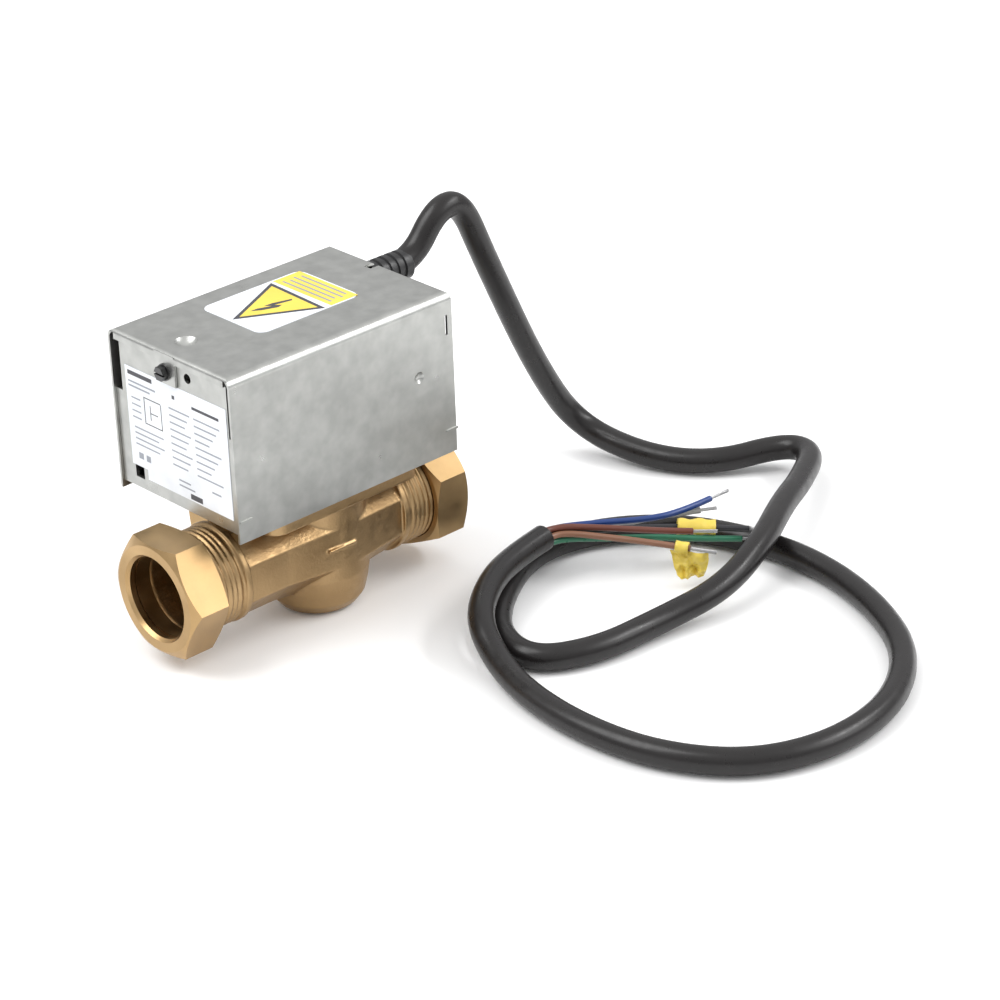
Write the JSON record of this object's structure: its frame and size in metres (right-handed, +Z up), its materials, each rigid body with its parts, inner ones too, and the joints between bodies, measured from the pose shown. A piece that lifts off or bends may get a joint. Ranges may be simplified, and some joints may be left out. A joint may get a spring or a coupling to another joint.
{
  "type": "motorised diverter valve",
  "caption": "Motorised ball diverter valve for 28 mm pipe: brass body with compression nuts, sheet steel actuator head and a loose flex with bared cores.",
  "frame": {"origin": "on the floor under the middle of the footprint, which runs from nut face to nut face and from the cover to the side nut", "axes": "+X along the two in-line ports towards the cable end of the head, +Y towards the side port, +Z up"},
  "size_m": [0.2526, 0.2419, 0.1178],
  "materials": {
    "forged_brass": "satin forged brass",
    "machined_brass": "bright machined brass",
    "galvanised_steel": "satin galvanised sheet",
    "bright_steel": "bright zinc",
    "dark_steel": "black zinc",
    "spring_steel": "drawn wire",
    "nitrile_rubber": "matte",
    "gasket_fibre": "matte",
    "black_pvc": "satin flex sheath",
    "blue_core": "satin",
    "grey_core": "satin",
    "black_core": "satin",
    "brown_core": "satin",
    "green_core": "satin",
    "orange_core": "satin",
    "yellow_tape": "satin",
    "copper": "twisted tinned copper",
    "paper_label": "printed paper",
    "white_nylon": "moulded",
    "black_nylon": "moulded",
    "copper_winding": "taped winding",
    "magnet": "ferrite"
  },
  "bodies": {
    "valve_and_head": {"bare_ends": "copper", "bonnet_gasket": "gasket_fibre", "bonnet_plate": "machined_brass", "bonnet_screws": "bright_steel", "chassis": "galvanised_steel", "core_black": "black_core", "core_blue": "blue_core", "core_brown": "brown_core", "core_green": "green_core", "core_grey": "grey_core", "core_orange": "orange_core", "cover": "galvanised_steel", "cover_screw": "dark_steel", "earth_screw": "bright_steel", "earth_tag": "bright_steel", "flex_cable": "black_pvc", "front_label": "paper_label", "head_screws": "bright_steel", "inner_wires": "grey_core", "micro_switch": "black_nylon", "motor_base": "galvanised_steel", "motor_can": "bright_steel", "motor_coil": "copper_winding", "motor_posts": "machined_brass", "motor_screws": "bright_steel", "olives": "machined_brass", "return_spring": "spring_steel", "sleeve_black": "yellow_tape", "stem_o_ring": "nitrile_rubber", "strain_relief": "black_nylon", "switch_bracket": "black_nylon", "switch_pivot": "spring_steel", "tape_flag": "yellow_tape", "top_sticker": "paper_label", "valve_body": "forged_brass"},
    "ball_and_stem": {"valve_stem": "bright_steel", "stem_clip": "spring_steel", "ball_arm": "machined_brass", "seat_ball": "nitrile_rubber", "sector_gear": "white_nylon"},
    "output_pinion": {"motor_pinion": "bright_steel", "reduction_wheel": "white_nylon"},
    "rotor": {"motor_rotor": "magnet"},
    "lever": {"switch_lever": "spring_steel"},
    "plunger": {"switch_plunger": "white_nylon"},
    "front_nut": {"port_a_nut": "machined_brass"},
    "rear_nut": {"port_b_nut": "machined_brass"},
    "side_nut": {"port_ab_nut": "machined_brass"}
  },
  "joints": [
    {"name": "stem_swing", "type": "hinge", "parent": "valve_and_head", "child": "ball_and_stem", "pos_m": [0.0075, -0.0195, 0.04], "axis": [0, 0, 1], "range_deg": [-67.9, 0], "stiffness_Nm_per_rad": 0.02, "springref_deg": 34.38, "deforming": ["return_spring"]},
    {"name": "pinion_spin", "type": "hinge", "parent": "valve_and_head", "child": "output_pinion", "pos_m": [0.01877, 0.008, 0.056], "axis": [0, 0, 1], "range_deg": [0, 435]},
    {"name": "rotor_spin", "type": "hinge", "parent": "valve_and_head", "child": "rotor", "pos_m": [0.022, -0.002, 0.07], "axis": [0, 0, 1], "range_deg": [-1448, 0]},
    {"name": "switch_lever_swing", "type": "hinge", "parent": "valve_and_head", "child": "lever", "pos_m": [-0.035, -0.0232, 0.058], "axis": [0, 0, 1], "range_deg": [-3.21, 0], "stiffness_Nm_per_rad": 0.002, "springref_deg": 1.15},
    {"name": "switch_plunger_push", "type": "slide", "parent": "valve_and_head", "child": "plunger", "axis": [0, 1, 0], "range_m": [-0.0007, 0]},
    {"name": "front_nut_turn", "type": "hinge", "parent": "valve_and_head", "child": "front_nut", "pos_m": [-0.0535, -0.01, 0.026], "axis": [1, 0, 0], "continuous": true},
    {"name": "rear_nut_turn", "type": "hinge", "parent": "valve_and_head", "child": "rear_nut", "pos_m": [0.0535, -0.01, 0.026], "axis": [1, 0, 0], "continuous": true},
    {"name": "side_nut_turn", "type": "hinge", "parent": "valve_and_head", "child": "side_nut", "pos_m": [0.0075, 0.0265, 0.026], "axis": [0, 1, 0], "continuous": true}
  ],
  "couplings": [
    {"joint": "pinion_spin", "follows": "rotor_spin", "ratio": -0.3},
    {"joint": "stem_swing", "follows": "rotor_spin", "ratio": 0.046875},
    {"joint": "switch_lever_swing", "follows": "switch_plunger_push", "rad_per_m": 80}
  ]
}
